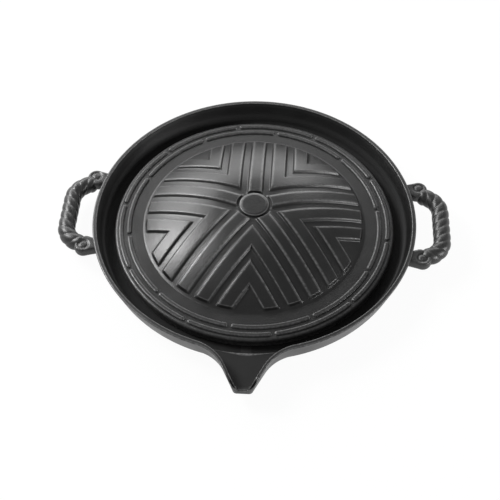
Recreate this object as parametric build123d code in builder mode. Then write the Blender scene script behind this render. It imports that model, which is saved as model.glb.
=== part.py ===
"""Grill pan: a ribbed dome that lifts off a round drip pan with a pour spout and two rope handles.

Millimetres, +Z up. The origin is on the pan's axis, on the surface that it stands on.
The spout points along -Y and the handles lie along X.
"""

from build123d import *

import os
from math import acos, cos, degrees, pi, radians, sin, tan

os.makedirs("parts", exist_ok=True)

# Drip pan
rim_radius = 150.0
rim_height = 25.8
rim_width = 4.2
rim_round = 1.2
wall_outer_draft = 16.3
wall_inner_draft = 18.0
floor_thickness = 4.0
moat_fillet = 4.0
base_edge_fillet = 5.5
overrun = 5.0
channel_overrun = 2.0
spout_overlap = 20.0
tolerance = 0.01

# Pour spout
spout_reach = 182.0
spout_tip_half_width = 8.2
spout_half_angle = 31.0
spout_draft = 7.0
spout_front_draft = 3.0
spout_wall = 2.6
spout_floor_root = 9.5
spout_floor_tip = 16.3
spout_shoulder_radius = 26.0
spout_tip_radius = 3.5
lip_side_height = 1.2
lip_run = 10.0

# Grill plate
flange_height = 13.5
flange_radius = 130.4
flange_thickness = 4.0
flange_edge_round = 2.6
skirt_thickness = 3.4
skirt_gap = 0.8
dome_radius = 102.2
dome_height = 25.7
dome_thickness = 4.0
rib_height = 2.3
rib_width = 13.5
groove_width = 7.6
rib_end_inset = 2.2
rib_round = 0.6
spoke_count = 5
spoke_turn = 90.0
chevron_count = 2
boss_radius = 13.6
boss_flat_radius = 10.8
boss_height = 27.6
boss_bevel_drop = 0.7
boss_gap = 2.4

# Raised arcs on the flange
arc_count = 10
inner_arc_radius = 116.7
outer_arc_radius = 124.4
arc_width = 4.6
arc_height = 1.6
arc_round = 1.2
arc_gap = 3.4
inner_arc_turn = 10.3
outer_arc_turn = 28.5

# Collar that the grill plate sits on
collar_clearance = 1.0
collar_thickness = 4.0
collar_round = 0.8

# Handles
grip_reach = 174.2
grip_radius = 8.1
grip_height = 17.5
grip_corner_radius = 13.5
arm_offset = 33.0
strand_count = 4
strand_pitch = 9.0
strand_crease = 1.1
rope_start_reach = 158.0
sections_per_turn = 10
rope_overlap = 1.5
arm_root_reach = 136.0
arm_root_radius = 6.2
arm_tip_radius = 7.6
scroll_radius = 8.0
scroll_reach = 154.0
scroll_offset = 42.0
scroll_half_height = 6.4
scroll_round = 2.4
scroll_root_near = 28.0
scroll_root_far = 47.0
groove_depth = 0.8
groove_outer_radius = 5.8
groove_inner_radius = 3.4


def outer_radius_at(height):
    """Radius of the wall's outer face at a height."""
    return rim_radius - (rim_height - height) * tan(radians(wall_outer_draft))


def inner_radius_at(height):
    """Radius of the wall's inner face at a height."""
    return rim_radius - rim_width - (rim_height - height) * tan(radians(wall_inner_draft))


def spout_half_width(y_distance, height, inset):
    """Half the spout's width at a distance in front of the axis, inset from its outer face."""
    slope = radians(spout_half_angle)
    draft = (rim_height - height) * tan(radians(spout_draft))
    return spout_tip_half_width + (spout_reach - y_distance) * tan(slope) - (draft + inset) / cos(slope)


def spout_levels(bottom, top, inset, front):
    """Outlines of the spout at two heights, inset from its outer faces, reaching past the tip by front."""
    levels = []
    for height in (bottom, top):
        reach = spout_reach - (rim_height - height) * tan(radians(spout_front_draft)) + front
        root_half = spout_half_width(spout_root, height, inset)
        tip_half = spout_half_width(reach, height, inset)
        with BuildSketch(Plane.XY.offset(height)) as level:
            with BuildLine():
                Polyline(
                    (-root_half, -spout_root),
                    (-tip_half, -reach),
                    (tip_half, -reach),
                    (root_half, -spout_root),
                    close=True,
                )
            make_face()
        levels.append(level.sketch.face())
    return levels


def spout_side_cut(drop):
    """Outline, in the YZ plane, of all that lies under the spout's floor line lowered by drop."""
    with BuildSketch(Plane.YZ) as outline:
        with BuildLine():
            Polyline(
                (-spout_root, -overrun),
                (-spout_root, spout_low_floor - drop),
                (-far_reach, spout_floor_tip - drop + overrun * spout_floor_rise),
                (-far_reach, -overrun),
                close=True,
            )
        make_face()
    return outline.sketch


wall_root = outer_radius_at(spout_floor_root)
spout_root = wall_root - spout_overlap
spout_floor_rise = (spout_floor_tip - spout_floor_root) / (spout_reach - wall_root)
spout_low_floor = spout_floor_root - (wall_root - spout_root) * spout_floor_rise
far_reach = spout_reach + overrun
moat_radius = inner_radius_at(floor_thickness)
moat_top_radius = inner_radius_at(rim_height + overrun)
lip_height = spout_floor_tip + lip_side_height
seat_height = flange_height - flange_thickness
skirt_inner_radius = flange_radius - skirt_thickness
skirt_bottom = floor_thickness + skirt_gap
collar_radius = skirt_inner_radius - collar_clearance

# Spout, solid, with its sloped underside
with BuildPart() as spout_form:
    loft(spout_levels(spout_low_floor - floor_thickness, rim_height, 0, 0), ruled=True)
    extrude(spout_side_cut(floor_thickness), amount=rim_radius, both=True, mode=Mode.SUBTRACT)

# Channel that is cut out of the spout
with BuildPart() as channel:
    loft(spout_levels(spout_low_floor, rim_height + overrun, spout_wall, channel_overrun), ruled=True)
    extrude(spout_side_cut(0), amount=rim_radius, both=True, mode=Mode.SUBTRACT)
    with BuildSketch(Plane.XZ):
        with BuildLine():
            Polyline(
                (0, floor_thickness),
                (moat_radius, floor_thickness),
                (moat_top_radius, rim_height + overrun),
                (0, rim_height + overrun),
                close=True,
            )
        make_face()
    revolve(axis=Axis.Z)


def side_edges(shape, distance):
    """The two tall edges, left and right, nearest to a distance in front of the axis."""
    tall = shape.edges().filter_by(lambda edge: edge.bounding_box().size.Z > lip_run)
    return tall.sort_by(lambda edge: abs(edge.center().Y + distance))[:2]


# Everything that is cut out above the moat's floor and the spout's floor
with BuildPart() as cavity:
    add(channel.part)
    fillet(side_edges(cavity, wall_root), spout_shoulder_radius + rim_width)
    fillet(cavity.edges().group_by(Axis.Z)[0], moat_fillet)

# The spout's side walls curve down to the lip
with BuildPart() as lip_cut:
    with BuildSketch(Plane.YZ):
        with BuildLine():
            curve = EllipticalCenterArc(
                (lip_run - spout_reach, lip_height),
                lip_run,
                rim_height - lip_height,
                start_angle=90,
                arc_size=90,
            )
            Polyline(
                curve @ 1,
                (-far_reach, lip_height),
                (-far_reach, rim_height + overrun),
                (lip_run - spout_reach, rim_height + overrun),
                curve @ 0,
            )
        make_face()
    extrude(amount=spout_root, both=True)

with BuildPart() as drip_pan:
    with BuildSketch(Plane.XZ):
        with BuildLine():
            Polyline(
                (0, 0),
                (outer_radius_at(0), 0),
                (rim_radius, rim_height),
                (0, rim_height),
                close=True,
            )
        make_face()
    revolve(axis=Axis.Z)
    fillet(drip_pan.edges().group_by(Axis.Z)[0], base_edge_fillet)
    add(spout_form.part)
    fillet(side_edges(drip_pan, wall_root), spout_shoulder_radius)
    fillet(side_edges(drip_pan, spout_reach), spout_tip_radius)
    fillet(drip_pan.edges().group_by(Axis.Z)[-1], rim_round)
    add(cavity.part, mode=Mode.SUBTRACT)
    add(lip_cut.part, mode=Mode.SUBTRACT)
    with BuildSketch(Plane.XY):
        Circle(collar_radius)
    extrude(amount=seat_height)
    fillet(drip_pan.edges().filter_by(GeomType.CIRCLE).filter_by(
        lambda edge: abs(edge.radius - collar_radius) < tolerance and edge.center().Z > floor_thickness
    ), collar_round)
    with BuildSketch(Plane.XY):
        Circle(collar_radius - collar_thickness)
    extrude(amount=seat_height, mode=Mode.SUBTRACT)
drip_pan.part.label = "drip_pan"
export_step(drip_pan.part, "parts/drip_pan.step")

# Rib pattern: spokes and nested chevrons, trimmed by the ribs' own dome
half_sector = pi / spoke_count
arm_direction = Vector(cos(half_sector), sin(half_sector))
with BuildPart() as ribs:
    with BuildSketch(Plane.XY.offset(flange_height)):
        with PolarLocations(0, spoke_count, start_angle=spoke_turn):
            Rectangle(dome_radius, rib_width, align=(Align.MIN, Align.CENTER))
        for number in range(chevron_count):
            near = rib_width / 2 + groove_width + number * (rib_width + groove_width)
            tips = [Vector(distance / sin(half_sector), 0) for distance in (near, near + rib_width)]
            upper = [tip + arm_direction * 2 * dome_radius for tip in tips]
            lower = [Vector(point.X, -point.Y) for point in upper]
            with PolarLocations(0, spoke_count, start_angle=spoke_turn + degrees(half_sector)):
                Polygon(upper[0], tips[0], lower[0], lower[1], tips[1], upper[1], align=None)
        Circle(dome_radius - rib_end_inset, mode=Mode.INTERSECT)
        Circle(boss_radius + boss_gap, mode=Mode.SUBTRACT)
    extrude(amount=dome_height + rib_height)
    with BuildSketch(Plane.XZ) as rib_dome:
        with BuildLine():
            crest = EllipticalCenterArc(
                (0, flange_height),
                dome_radius + rib_height,
                dome_height + rib_height,
                start_angle=0,
                arc_size=90,
            )
            Polyline(crest @ 1, (0, flange_height), crest @ 0)
        make_face()
    revolve(axis=Axis.Z, mode=Mode.INTERSECT)
    fillet(ribs.faces().filter_by(GeomType.REVOLUTION).edges(), rib_round)

# Two rings of raised arcs with rounded ends
with BuildPart() as arcs:
    for radius, turn in ((inner_arc_radius, inner_arc_turn), (outer_arc_radius, outer_arc_turn)):
        span = 360 / arc_count - degrees((arc_gap + arc_width) / radius)
        with BuildSketch(Plane.XY.offset(flange_height)):
            with PolarLocations(0, arc_count, start_angle=turn + 180 / arc_count - span / 2):
                SlotArc(arc=CenterArc((0, 0), radius, 0, span).edge(), height=arc_width)
        extrude(amount=arc_height)
    fillet(arcs.faces().group_by(Axis.Z)[-1].edges(), arc_round)

with BuildPart() as grill_plate:
    with BuildSketch(Plane.XZ):
        with BuildLine():
            crest = EllipticalCenterArc(
                (0, flange_height), dome_radius, dome_height, start_angle=0, arc_size=90
            )
            Polyline(
                crest @ 1,
                (0, seat_height),
                (skirt_inner_radius, seat_height),
                (skirt_inner_radius, skirt_bottom),
                (flange_radius, skirt_bottom),
                (flange_radius, flange_height),
                crest @ 0,
            )
        make_face()
    revolve(axis=Axis.Z)
    fillet(grill_plate.edges().filter_by(GeomType.CIRCLE).filter_by(
        lambda edge: abs(edge.radius - flange_radius) < tolerance and edge.center().Z > seat_height
    ), flange_edge_round)
    add(ribs.part)
    with BuildSketch(Plane.XZ):
        Polygon(
            (0, flange_height),
            (boss_radius, flange_height),
            (boss_radius, flange_height + boss_height - boss_bevel_drop),
            (boss_flat_radius, flange_height + boss_height),
            (0, flange_height + boss_height),
            align=None,
        )
    revolve(axis=Axis.Z)
    add(arcs.part)
    with BuildSketch(Plane.XZ):
        with BuildLine():
            hollow = EllipticalCenterArc(
                (0, flange_height),
                dome_radius - dome_thickness,
                dome_height - dome_thickness,
                start_angle=0,
                arc_size=degrees(acos(boss_radius / (dome_radius - dome_thickness))),
            )
            Polyline(
                hollow @ 1,
                (0, (hollow @ 1).Y),
                (0, 0),
                (dome_radius - dome_thickness, 0),
                hollow @ 0,
            )
        make_face()
    revolve(axis=Axis.Z, mode=Mode.SUBTRACT)
grill_plate.part.label = "grill_plate"
export_step(grill_plate.part, "parts/grill_plate.step")

# One end of a handle: the round arm that carries the rope and the scroll, both grown out of the wall
with BuildPart() as handle_end:
    with BuildSketch(Plane.XY.offset(grip_height - scroll_half_height)):
        with Locations((scroll_reach, scroll_offset)):
            Circle(scroll_radius)
        Polygon(
            (arm_root_reach, scroll_root_near),
            (scroll_reach, scroll_root_near),
            (arm_root_reach, scroll_root_far),
            align=None,
        )
        make_hull()
    extrude(amount=2 * scroll_half_height)
    fillet(handle_end.edges().group_by(Axis.Z)[0] + handle_end.edges().group_by(Axis.Z)[-1], scroll_round)
    with BuildSketch(Plane.XY.offset(grip_height)):
        Polygon(
            (arm_root_reach, arm_offset),
            (arm_root_reach, arm_offset + arm_root_radius),
            (rope_start_reach + rope_overlap, arm_offset + arm_tip_radius),
            (rope_start_reach + rope_overlap, arm_offset),
            align=None,
        )
    revolve(axis=Axis((0, arm_offset, grip_height), (1, 0, 0)))
    for level in (grip_height - scroll_half_height, grip_height + scroll_half_height - groove_depth):
        with BuildSketch(Plane.XY.offset(level)):
            with Locations((scroll_reach, scroll_offset)):
                Circle(groove_outer_radius)
                Circle(groove_inner_radius, mode=Mode.SUBTRACT)
        extrude(amount=groove_depth, mode=Mode.SUBTRACT)

# Right handle
with BuildPart() as right_handle:
    with BuildLine(Plane.XY.offset(grip_height)) as grip_path:
        FilletPolyline(
            (rope_start_reach, arm_offset),
            (grip_reach, arm_offset),
            (grip_reach, -arm_offset),
            (rope_start_reach, -arm_offset),
            radius=grip_corner_radius,
        )
    path = grip_path.wires()[0]
    turns = path.length / (strand_pitch * strand_count)
    section_count = round(turns * sections_per_turn)
    for number in range(section_count + 1):
        share = number / section_count
        with BuildSketch(Plane(origin=path @ share, x_dir=(0, 0, 1), z_dir=path % share)):
            with BuildLine():
                for strand in range(strand_count):
                    angles = [
                        2 * pi * (turns * share + (strand + step) / strand_count)
                        for step in (0, 1 / 2, 1)
                    ]
                    radii = (grip_radius - strand_crease, grip_radius, grip_radius - strand_crease)
                    ThreePointArc(*[
                        (radius * cos(angle), radius * sin(angle)) for radius, angle in zip(radii, angles)
                    ])
            make_face()
    loft()
    add(handle_end.part)
    mirror(handle_end.part, about=Plane.XZ)
    with BuildSketch(Plane.XZ):
        Polygon(
            (0, 0), (outer_radius_at(0), 0), (rim_radius, rim_height), (0, rim_height), align=None
        )
    revolve(axis=Axis.Z, mode=Mode.SUBTRACT)
right_handle.part.label = "right_handle"
export_step(right_handle.part, "parts/right_handle.step")

# Left handle
with BuildPart() as left_handle:
    mirror(right_handle.part, about=Plane.YZ)
left_handle.part.label = "left_handle"
export_step(left_handle.part, "parts/left_handle.step")
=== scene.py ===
"""Grill pan: a ribbed dome that lifts off a drip pan with a pour spout and rope-twist handles.

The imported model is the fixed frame. Sizes in the classes are millimetres, +Z up, with the origin
on the pan's axis on the surface that it stands on, the spout along -Y and the handles along X.
Meshes are put into Blender in metres.
"""

from __future__ import annotations

import logging
from collections.abc import Callable, Iterator
from dataclasses import dataclass, field
from enum import Enum

import bmesh
import bpy
import numpy as np
from mathutils import Matrix, Vector

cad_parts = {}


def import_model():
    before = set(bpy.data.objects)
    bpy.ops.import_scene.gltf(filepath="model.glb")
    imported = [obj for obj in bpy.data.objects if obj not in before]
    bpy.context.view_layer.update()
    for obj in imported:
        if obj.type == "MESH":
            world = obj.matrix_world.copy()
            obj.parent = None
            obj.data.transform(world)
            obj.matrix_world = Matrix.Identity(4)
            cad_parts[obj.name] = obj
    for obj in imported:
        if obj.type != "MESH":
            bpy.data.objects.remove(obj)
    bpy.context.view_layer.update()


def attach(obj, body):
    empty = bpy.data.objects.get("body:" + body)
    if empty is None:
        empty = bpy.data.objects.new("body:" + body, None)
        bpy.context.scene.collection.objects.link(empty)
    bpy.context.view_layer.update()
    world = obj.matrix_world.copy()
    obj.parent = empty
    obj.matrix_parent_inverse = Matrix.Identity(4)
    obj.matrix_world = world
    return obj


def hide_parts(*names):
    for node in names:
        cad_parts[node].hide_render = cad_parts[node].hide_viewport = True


LOG = logging.getLogger("grill_pan")

# Metres in a millimetre, and the distance in metres within which points become one
MM = 0.001
MERGE_DISTANCE = 2e-6

# Digits that sizes in millimetres and angles in radians are rounded to before they are compared
DIGITS = 6
ANGLE_DIGITS = 7

# Short names for types: Stretch has the radii and heights of a stretch of a profile
Array = np.ndarray
Numbers = tuple[float, ...]
Pair = tuple[float, float]
Triple = tuple[float, float, float]
Stretch = tuple[Array, Array]
Piece = bpy.types.Object
Socket = bpy.types.NodeSocket
Tree = bpy.types.NodeTree

# Point attributes: how sharply each edge bends, which lightens the edges as wear and as a painted
# highlight, and depth inside the moat and the channel
EDGE_LAYER = "edge"
HOLLOW_LAYER = "hollow"

# In millimetres: the radius at which an edge takes the full lighter colour of wear and painted
# highlight, and the length that shorter edges count as
SHARP_RADIUS = 0.8
SHORT_EDGE = 0.12


def s_curve(value: Array) -> Array:
    """Cubic step: 0 below 0, 1 above 1 and 3t^2 - 2t^3 between."""
    share = np.clip(value, 0.0, 1.0)
    return share * share * (3.0 - 2.0 * share)


def rounded_ramp(distance: Array, half_run: float, softness: float) -> Array:
    """A straight ramp from 0 to 1 with rounded ends.

    The ramp is the difference of two soft corners. A soft corner is 0 before -softness, follows
    (x + softness)^2 / (4 softness) up to softness, and is x after it.

    Args:
        distance: Distance past the middle of the ramp.
        half_run: Half the ramp's length.
        softness: Half the length of each rounding.

    Returns:
        The ramp's height, from 0 to 1.
    """

    def corner(x: Array) -> Array:
        """The soft corner."""
        return np.where(x > softness, x, np.clip(x + softness, 0.0, None) ** 2 / (4.0 * softness))

    return (corner(distance + half_run) - corner(distance - half_run)) / (2.0 * half_run)


def shares(count: int) -> Array:
    """A row of count even shares of a stretch, after its start and up to 1."""
    return np.linspace(0, 1, count + 1)[None, 1:]


def quarter_turn(count: int) -> Array:
    """A row of count even angles of a quarter turn, after 0 and up to pi / 2."""
    return shares(count) * np.pi / 2


def grid_quads(shape: tuple[int, int], start: int) -> Array:
    """Corner numbers of the quads of an open grid of points.

    Args:
        shape: Rows and columns of points.
        start: Number of the grid's first point.

    Returns:
        An array with one row of four point numbers for each quad.
    """
    number = start + np.arange(shape[0] * shape[1]).reshape(shape)
    corners = (number[:-1, :-1], number[:-1, 1:], number[1:, 1:], number[1:, :-1])
    return np.stack(corners, axis=-1).reshape(-1, 4)


class Smoothing(Enum):
    """Angle between faces, in degrees, above which an edge is drawn sharp."""

    CRISP = 32.0
    ROPE = 38.0


def mesh_rows(items: bpy.types.bpy_prop_collection, name: str, kind: type = float) -> Array:
    """Reads a property of a mesh's points or edges.

    Args:
        items: The mesh's points, normals or edges.
        name: The property's name.
        kind: The type of its numbers.

    Returns:
        One row of numbers for each item.
    """
    width = len(getattr(items[0], name))
    rows = np.empty(width * len(items), dtype=kind)
    items.foreach_get(name, rows)
    return rows.reshape(-1, width)


def store_values(mesh: bpy.types.Mesh, name: str, values: Array) -> None:
    """Stores one value per point as an attribute."""
    layer = mesh.attributes.new(name, "FLOAT", "POINT")
    layer.data.foreach_set("value", values.astype(np.float32))


def add_object(name: str, data: bpy.types.ID) -> Piece:
    """Makes an object out of its data and links it to the scene.

    Args:
        name: The object's name.
        data: Its mesh, light or camera.

    Returns:
        The linked object.
    """
    made = bpy.data.objects.new(name, data)
    bpy.context.scene.collection.objects.link(made)
    return made


def facing(place: Vector, look: Vector) -> Matrix:
    """The matrix of a camera or light at a place that looks along a direction."""
    return Matrix.Translation(place) @ look.to_track_quat("-Z", "Y").to_matrix().to_4x4()


def edge_sharpness(mesh: bpy.types.Mesh) -> Array:
    """How sharply the surface bends outwards at each point.

    The bend along an edge of length d is 2 (drop under the tangent plane) / d^2, the inverse of
    the radius of a circle through both ends. Each point takes the greatest bend of its edges, and
    edges under SHORT_EDGE count as that long.

    Args:
        mesh: The finished mesh, in metres.

    Returns:
        One value per point: 0 where flat or hollow, 1 at a radius of SHARP_RADIUS or less.
    """
    points = mesh_rows(mesh.vertices, "co")
    normals = mesh_rows(mesh.vertex_normals, "vector")
    ends = mesh_rows(mesh.edges, "vertices", np.int32)
    span = points[ends[:, 1]] - points[ends[:, 0]]
    square = np.maximum((span**2).sum(axis=1), (SHORT_EDGE * MM) ** 2)
    bend = np.zeros(len(points))
    for near, sign in ((ends[:, 0], 1.0), (ends[:, 1], -1.0)):
        np.maximum.at(bend, near, -2.0 * sign * (span * normals[near]).sum(axis=1) / square)
    return np.clip(bend * SHARP_RADIUS * MM, 0.0, 1.0)


def surface_object(name: str, grids: list[Array], smoothing: Smoothing) -> Piece:
    """Makes one closed mesh object out of grids that share their borders.

    Args:
        name: The object's name.
        grids: Arrays of points, rows by columns by 3, in millimetres.
        smoothing: Where its edges are drawn sharp.

    Returns:
        The linked object, at the origin, with its faces pointing outwards.
    """
    points = np.concatenate([grid.reshape(-1, 3) for grid in grids]) * MM
    starts = np.cumsum([0] + [grid.shape[0] * grid.shape[1] for grid in grids])
    quads = np.concatenate([grid_quads(g.shape[:2], int(s)) for g, s in zip(grids, starts)])
    mesh = bpy.data.meshes.new(name)
    mesh.from_pydata(points, [], quads.tolist())
    solid = bmesh.new()
    solid.from_mesh(mesh)
    bmesh.ops.remove_doubles(solid, verts=solid.verts, dist=MERGE_DISTANCE)
    bmesh.ops.dissolve_degenerate(solid, edges=solid.edges, dist=MERGE_DISTANCE)
    bmesh.ops.recalc_face_normals(solid, faces=solid.faces)
    solid.to_mesh(mesh)
    open_edges = sum(1 for edge in solid.edges if not edge.is_manifold)
    solid.free()
    mesh.shade_smooth()
    mesh.set_sharp_from_angle(angle=np.radians(smoothing.value))
    # The edge sharpness lightens the edges in the material: partly wear, partly painted highlight lines.
    store_values(mesh, EDGE_LAYER, edge_sharpness(mesh))
    LOG.info("%s: %d faces, %d open edges", name, len(mesh.polygons), open_edges)
    return add_object(name, mesh)


def polar(radius: Array, angle: Array, height: Array) -> Array:
    """Points (radius cos, radius sin, height) stacked along a last axis of 3."""
    radius, angle, height = np.broadcast_arrays(radius, angle, height)
    return np.stack((radius * np.cos(angle), radius * np.sin(angle), height), axis=-1)


def empty_tree(owner: bpy.types.ID) -> Tree:
    """Turns on the nodes of a material or world and clears them.

    Args:
        owner: The material or world.

    Returns:
        Its empty node tree.
    """
    owner.use_nodes = True
    owner.node_tree.nodes.clear()
    return owner.node_tree


def add_node(tree: Tree, kind: str, values: dict[str, float | Numbers] | None = None) -> bpy.types.Node:
    """Adds a shader node.

    Args:
        tree: The tree that it belongs to.
        kind: Its type, without ShaderNode in front.
        values: Values of its inputs, by name.

    Returns:
        The new node.
    """
    node = tree.nodes.new(f"ShaderNode{kind}")
    for name, value in (values or {}).items():
        node.inputs[name].default_value = value
    return node


def wire(source: bpy.types.Node, outlet: str, target: bpy.types.Node, inlet: str | int) -> None:
    """Links an output of one node to an input of another."""
    target.id_data.links.new(source.outputs[outlet], target.inputs[inlet])


def join(tree: Tree, operation: str, first: Socket, second: Socket) -> Socket:
    """Adds a Math node of two linked values.

    Args:
        tree: The tree that it belongs to.
        operation: Blender's name of the operation.
        first: The first value's socket.
        second: The second value's socket.

    Returns:
        The output socket.
    """
    node = add_node(tree, "Math")
    node.operation = operation
    tree.links.new(first, node.inputs[0])
    tree.links.new(second, node.inputs[1])
    return node.outputs["Value"]


@dataclass(frozen=True)
class IronFinish:
    """Satin black coating over a fine cast grain, whose size and depth are millimetres."""

    slot: str
    colour: Triple
    roughness: float
    roughness_spread: float
    grain_size: float
    grain_depth: float
    specular: float
    # Lighter colour on sharp edges: partly wear, partly painted highlight lines.
    edge_wear_and_highlight_colour: Triple
    worn_roughness: float
    hollow_roughness: float

    def material(self, group: Tree) -> bpy.types.Material:
        """Builds the material round the shared grain group.

        Args:
            group: The cast grain node group.

        Returns:
            The finished material.
        """
        material = bpy.data.materials.new(f"satin_{self.slot}")
        tree = empty_tree(material)
        place = add_node(tree, "TexCoord")
        grain = add_node(tree, "Group")
        grain.node_tree = group
        for name, value in (
            ("Colour", (*self.colour, 1.0)),
            ("Roughness", self.roughness),
            ("Roughness Spread", self.roughness_spread),
            ("Grains Per Metre", 1.0 / (self.grain_size * MM)),
            ("Edge Wear And Highlight Colour", (*self.edge_wear_and_highlight_colour, 1.0)),
            ("Worn Roughness", self.worn_roughness),
            ("Hollow Roughness", self.hollow_roughness),
        ):
            grain.inputs[name].default_value = value
        for layer, name in ((EDGE_LAYER, "Edge"), (HOLLOW_LAYER, "Hollow")):
            mark = add_node(tree, "Attribute")
            mark.attribute_name = layer
            wire(mark, "Fac", grain, name)
        bump = add_node(tree, "Bump", {"Strength": 1.0, "Distance": self.grain_depth * MM})
        shader = add_node(tree, "BsdfPrincipled", {"Specular IOR Level": self.specular})
        out = add_node(tree, "OutputMaterial")
        wire(place, "Object", grain, "Position")
        wire(grain, "Colour", shader, "Base Color")
        wire(grain, "Roughness", shader, "Roughness")
        wire(grain, "Height", bump, "Height")
        wire(bump, "Normal", shader, "Normal")
        wire(shader, "BSDF", out, "Surface")
        return material


# The lighter edge colour is partly wear and partly painted highlight lines along the edges.
PAN_IRON = IronFinish(
    slot="pan_iron", colour=(0.005, 0.005, 0.005), roughness=0.4, roughness_spread=0.1,
    grain_size=1.0, grain_depth=0.05, specular=0.5,
    edge_wear_and_highlight_colour=(0.13, 0.13, 0.13), worn_roughness=0.28, hollow_roughness=0.95,
)
PLATE_IRON = IronFinish(
    slot="plate_iron", colour=(0.006, 0.006, 0.006), roughness=0.34, roughness_spread=0.1,
    grain_size=1.5, grain_depth=0.22, specular=0.5,
    edge_wear_and_highlight_colour=(0.13, 0.13, 0.13), worn_roughness=0.24, hollow_roughness=0.95,
)


@dataclass(frozen=True)
class NoiseBand:
    """Noise whose usual range, from_range, is spread over to_range."""

    cells_per_metre: float
    octaves: float
    to_range: Pair
    from_range: Pair = (0.3, 0.7)

    def build(self, group: Tree) -> Socket:
        """Adds the noise over the group's Position.

        Args:
            group: The node group, with a Position input.

        Returns:
            The output socket with the spread noise.
        """
        values = {"Scale": self.cells_per_metre, "Detail": self.octaves}
        noise = add_node(group, "TexNoise", values)
        spread = add_node(group, "MapRange", {
            "From Min": self.from_range[0], "From Max": self.from_range[1],
            "To Min": self.to_range[0], "To Max": self.to_range[1],
        })
        inlet = next(node for node in group.nodes if node.bl_idname == "NodeGroupInput")
        wire(inlet, "Position", noise, "Vector")
        wire(noise, "Fac", spread, "Value")
        return spread.outputs["Result"]


ROUGHNESS_CLOUDS = NoiseBand(38.0, 4.0, (-0.5, 0.5))
COLOUR_CLOUDS = NoiseBand(90.0, 4.0, (0.8, 1.2))
EDGE_BREAKUP_NOISE = NoiseBand(420.0, 3.0, (0.25, 1.0))
GRAIN_OCTAVES = 3.0
GRAIN_FALLOFF = 0.6


def cast_grain_group() -> Tree:
    """Shader group for cast iron under a coating that is worn thin along its edges.

    Fine noise gives the grain's height, broad noise clouds the colour and the roughness, and
    middle noise breaks up the lighter colour along the edges, which is partly wear and partly a
    painted highlight. The moat and the channel are rougher.

    Returns:
        The node group, with named inputs and outputs.
    """
    group = bpy.data.node_groups.new("CastGrain", "ShaderNodeTree")
    for name, kind in (
        ("Position", "Vector"), ("Colour", "Color"), ("Roughness", "Float"),
        ("Roughness Spread", "Float"), ("Grains Per Metre", "Float"), ("Edge", "Float"),
        ("Edge Wear And Highlight Colour", "Color"), ("Worn Roughness", "Float"), ("Hollow", "Float"),
        ("Hollow Roughness", "Float"),
    ):
        group.interface.new_socket(name, in_out="INPUT", socket_type=f"NodeSocket{kind}")
    for name, kind in (("Colour", "Color"), ("Roughness", "Float"), ("Height", "Float")):
        group.interface.new_socket(name, in_out="OUTPUT", socket_type=f"NodeSocket{kind}")
    inlet, outlet = group.nodes.new("NodeGroupInput"), group.nodes.new("NodeGroupOutput")
    grain = add_node(group, "TexNoise", {"Detail": GRAIN_OCTAVES, "Roughness": GRAIN_FALLOFF})
    wire(inlet, "Position", grain, "Vector")
    wire(inlet, "Grains Per Metre", grain, "Scale")
    wire(grain, "Fac", outlet, "Height")
    given = inlet.outputs

    def blend(kind: str, share: Socket, first: Socket, second: Socket) -> Socket:
        """Adds a Mix node.

        Args:
            kind: The type of what is mixed.
            share: Socket with the share of second, from 0 to 1.
            first: Socket of what shows at 0.
            second: Socket of what shows at 1.

        Returns:
            The output socket.
        """
        node = add_node(group, "Mix")
        node.data_type = kind
        ends = [socket for socket in node.inputs if socket.enabled and socket.name in ("A", "B")]
        for start, end in ((share, node.inputs["Factor"]), (first, ends[0]), (second, ends[1])):
            group.links.new(start, end)
        return next(socket for socket in node.outputs if socket.enabled)

    clouded = join(group, "MULTIPLY", ROUGHNESS_CLOUDS.build(group), given["Roughness Spread"])
    plain = join(group, "ADD", clouded, given["Roughness"])
    plain = blend("FLOAT", given["Hollow"], plain, given["Hollow Roughness"])
    tint = add_node(group, "VectorMath")
    tint.operation = "SCALE"
    wire(inlet, "Colour", tint, 0)
    group.links.new(COLOUR_CLOUDS.build(group), tint.inputs["Scale"])
    # Lighter colour along sharp edges, broken up by noise: partly wear, partly painted highlight lines.
    wear_and_highlight = join(group, "MULTIPLY", given["Edge"], EDGE_BREAKUP_NOISE.build(group))
    roughness = blend("FLOAT", wear_and_highlight, plain, given["Worn Roughness"])
    colour = blend("RGBA", wear_and_highlight, tint.outputs["Vector"], given["Edge Wear And Highlight Colour"])
    group.links.new(roughness, outlet.inputs["Roughness"])
    group.links.new(colour, outlet.inputs["Colour"])
    return group


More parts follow.
